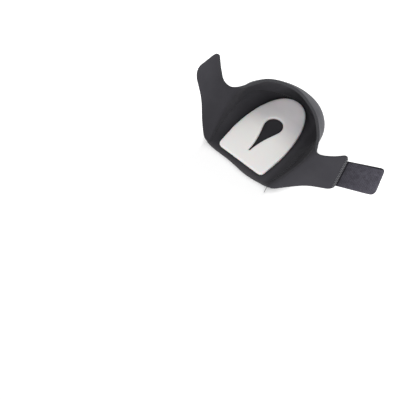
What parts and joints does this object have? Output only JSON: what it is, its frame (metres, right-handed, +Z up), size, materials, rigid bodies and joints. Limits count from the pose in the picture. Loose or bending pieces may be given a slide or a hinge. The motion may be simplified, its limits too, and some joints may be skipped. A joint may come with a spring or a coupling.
{
  "type": "gel heel cup",
  "caption": "Soft foam heel wrap lying open on its sole: a heel cup with two wings, a hook tab on one wing, and a pale gel heel pad with a teardrop opening.",
  "frame": {"origin": "middle of the sole panel's flat underside, on the surface that it lies on, under the gel pad", "axes": "+X across the foot towards the wing with the hook tab, +Y from the toe side towards the heel, +Z up from the surface"},
  "size_m": [0.2176, 0.1012, 0.0455],
  "materials": {
    "wrap_cloth": "charcoal jersey inside and brushed loop cloth outside, on foam",
    "sole_cloth": "charcoal knitted cloth on foam",
    "gel": "milky satin gel",
    "hook_tape": "dark grey hook tape with a flat rim"
  },
  "bodies": {
    "root": {"heel_wrap": "wrap_cloth", "sole_panel": "sole_cloth", "gel_pad": "gel", "hook_tab": "hook_tape"}
  },
  "joints": []
}
